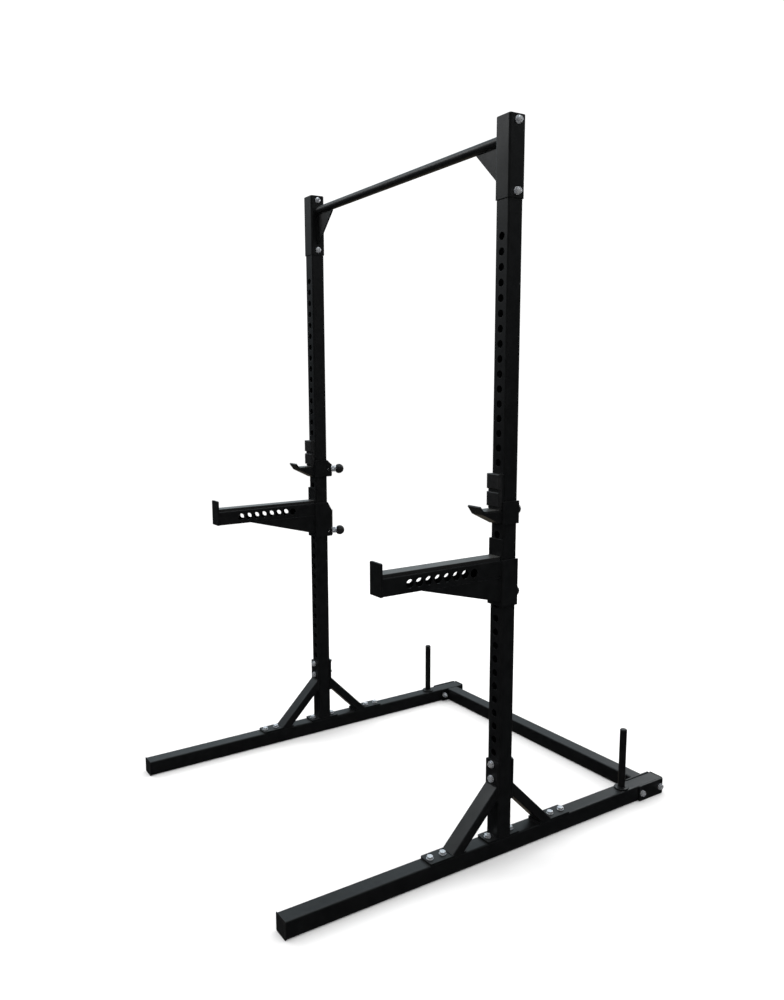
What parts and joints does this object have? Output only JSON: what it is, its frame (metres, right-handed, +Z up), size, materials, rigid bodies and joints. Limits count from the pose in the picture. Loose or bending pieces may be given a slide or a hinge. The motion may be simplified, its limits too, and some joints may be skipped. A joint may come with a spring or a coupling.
{
  "type": "power cage",
  "caption": "Two-post squat rack with pull-up bar, adjustable J-cups and spotter arms on pull pins, and upright pegs on a bolted U-shaped base.",
  "frame": {"origin": "on the floor, under the middle of the whole rack", "axes": "+X to the right across the rack, -Y to the front where the spotter arms point, +Z up"},
  "size_m": [1.121, 1.431, 2.0585],
  "materials": {
    "black_powder_coat": "satin black powder coat with fine orange peel",
    "zinc": "bright zinc plating",
    "black_plastic": "moulded matt black plastic",
    "grey_liner": "black polyethylene, scuffed grey on top",
    "spring_steel": "drawn wire"
  },
  "bodies": {
    "root": {"band_peg_left": "black_powder_coat", "band_peg_right": "black_powder_coat", "bar_gussets": "black_powder_coat", "bar_sleeve_left": "black_powder_coat", "bar_sleeve_right": "black_powder_coat", "base_leg_left": "black_powder_coat", "base_leg_right": "black_powder_coat", "base_plates": "black_powder_coat", "brace_front_left": "black_powder_coat", "brace_front_right": "black_powder_coat", "brace_rear_left": "black_powder_coat", "brace_rear_right": "black_powder_coat", "crossmember_plates": "black_powder_coat", "leg_bolts": "zinc", "leg_end_caps": "black_plastic", "lock_nuts": "zinc", "pull_up_bar": "black_powder_coat", "rear_crossmember": "black_powder_coat", "sleeve_bolts": "zinc", "through_bolts": "zinc", "top_caps": "black_plastic", "upright_left": "black_powder_coat", "upright_right": "black_powder_coat", "washers": "zinc", "weld_nuts": "zinc"},
    "arm_left": {"arm_beam_left": "black_powder_coat", "arm_gussets_left": "black_powder_coat", "arm_liner_left": "grey_liner", "arm_lip_left": "black_powder_coat", "arm_pin_barrel_left": "zinc", "arm_pin_spring_left": "spring_steel", "arm_saddle_left": "black_powder_coat"},
    "arm_right": {"arm_beam_right": "black_powder_coat", "arm_gussets_right": "black_powder_coat", "arm_liner_right": "grey_liner", "arm_lip_right": "black_powder_coat", "arm_pin_barrel_right": "zinc", "arm_pin_spring_right": "spring_steel", "arm_saddle_right": "black_powder_coat"},
    "arm_pin_left": {"arm_pin_knob_left": "black_plastic", "arm_pin_plunger_left": "zinc"},
    "arm_pin_right": {"arm_pin_knob_right": "black_plastic", "arm_pin_plunger_right": "zinc"},
    "jcup_left": {"jcup_blocks_left": "black_plastic", "jcup_pad_left": "grey_liner", "jcup_pin_barrel_left": "zinc", "jcup_pin_spring_left": "spring_steel", "jcup_saddle_left": "black_powder_coat", "jcup_tongue_left": "black_powder_coat"},
    "jcup_right": {"jcup_blocks_right": "black_plastic", "jcup_pad_right": "grey_liner", "jcup_pin_barrel_right": "zinc", "jcup_pin_spring_right": "spring_steel", "jcup_saddle_right": "black_powder_coat", "jcup_tongue_right": "black_powder_coat"},
    "jcup_pin_left": {"jcup_pin_knob_left": "black_plastic", "jcup_pin_plunger_left": "zinc"},
    "jcup_pin_right": {"jcup_pin_knob_right": "black_plastic", "jcup_pin_plunger_right": "zinc"}
  },
  "joints": [
    {"name": "jcup_height_left", "type": "slide", "parent": "root", "child": "jcup_left", "axis": [0, 0, 1], "range_m": [-0.04, 0.68]},
    {"name": "jcup_pin_pull_left", "type": "slide", "parent": "jcup_left", "child": "jcup_pin_left", "axis": [0.6, 0.8, 0], "range_m": [-0.016, 0]},
    {"name": "arm_height_left", "type": "slide", "parent": "root", "child": "arm_left", "axis": [0, 0, 1], "range_m": [-0.48, 0.04]},
    {"name": "arm_pin_pull_left", "type": "slide", "parent": "arm_left", "child": "arm_pin_left", "axis": [0.6, 0.8, 0], "range_m": [-0.016, 0]},
    {"name": "jcup_height_right", "type": "slide", "parent": "root", "child": "jcup_right", "axis": [0, 0, 1], "range_m": [-0.04, 0.72]},
    {"name": "jcup_pin_pull_right", "type": "slide", "parent": "jcup_right", "child": "jcup_pin_right", "axis": [-0.6, 0.8, 0], "range_m": [-0.016, 0]},
    {"name": "arm_height_right", "type": "slide", "parent": "root", "child": "arm_right", "axis": [0, 0, 1], "range_m": [-0.44, 0.04]},
    {"name": "arm_pin_pull_right", "type": "slide", "parent": "arm_right", "child": "arm_pin_right", "axis": [-0.6, 0.8, 0], "range_m": [-0.016, 0]}
  ]
}
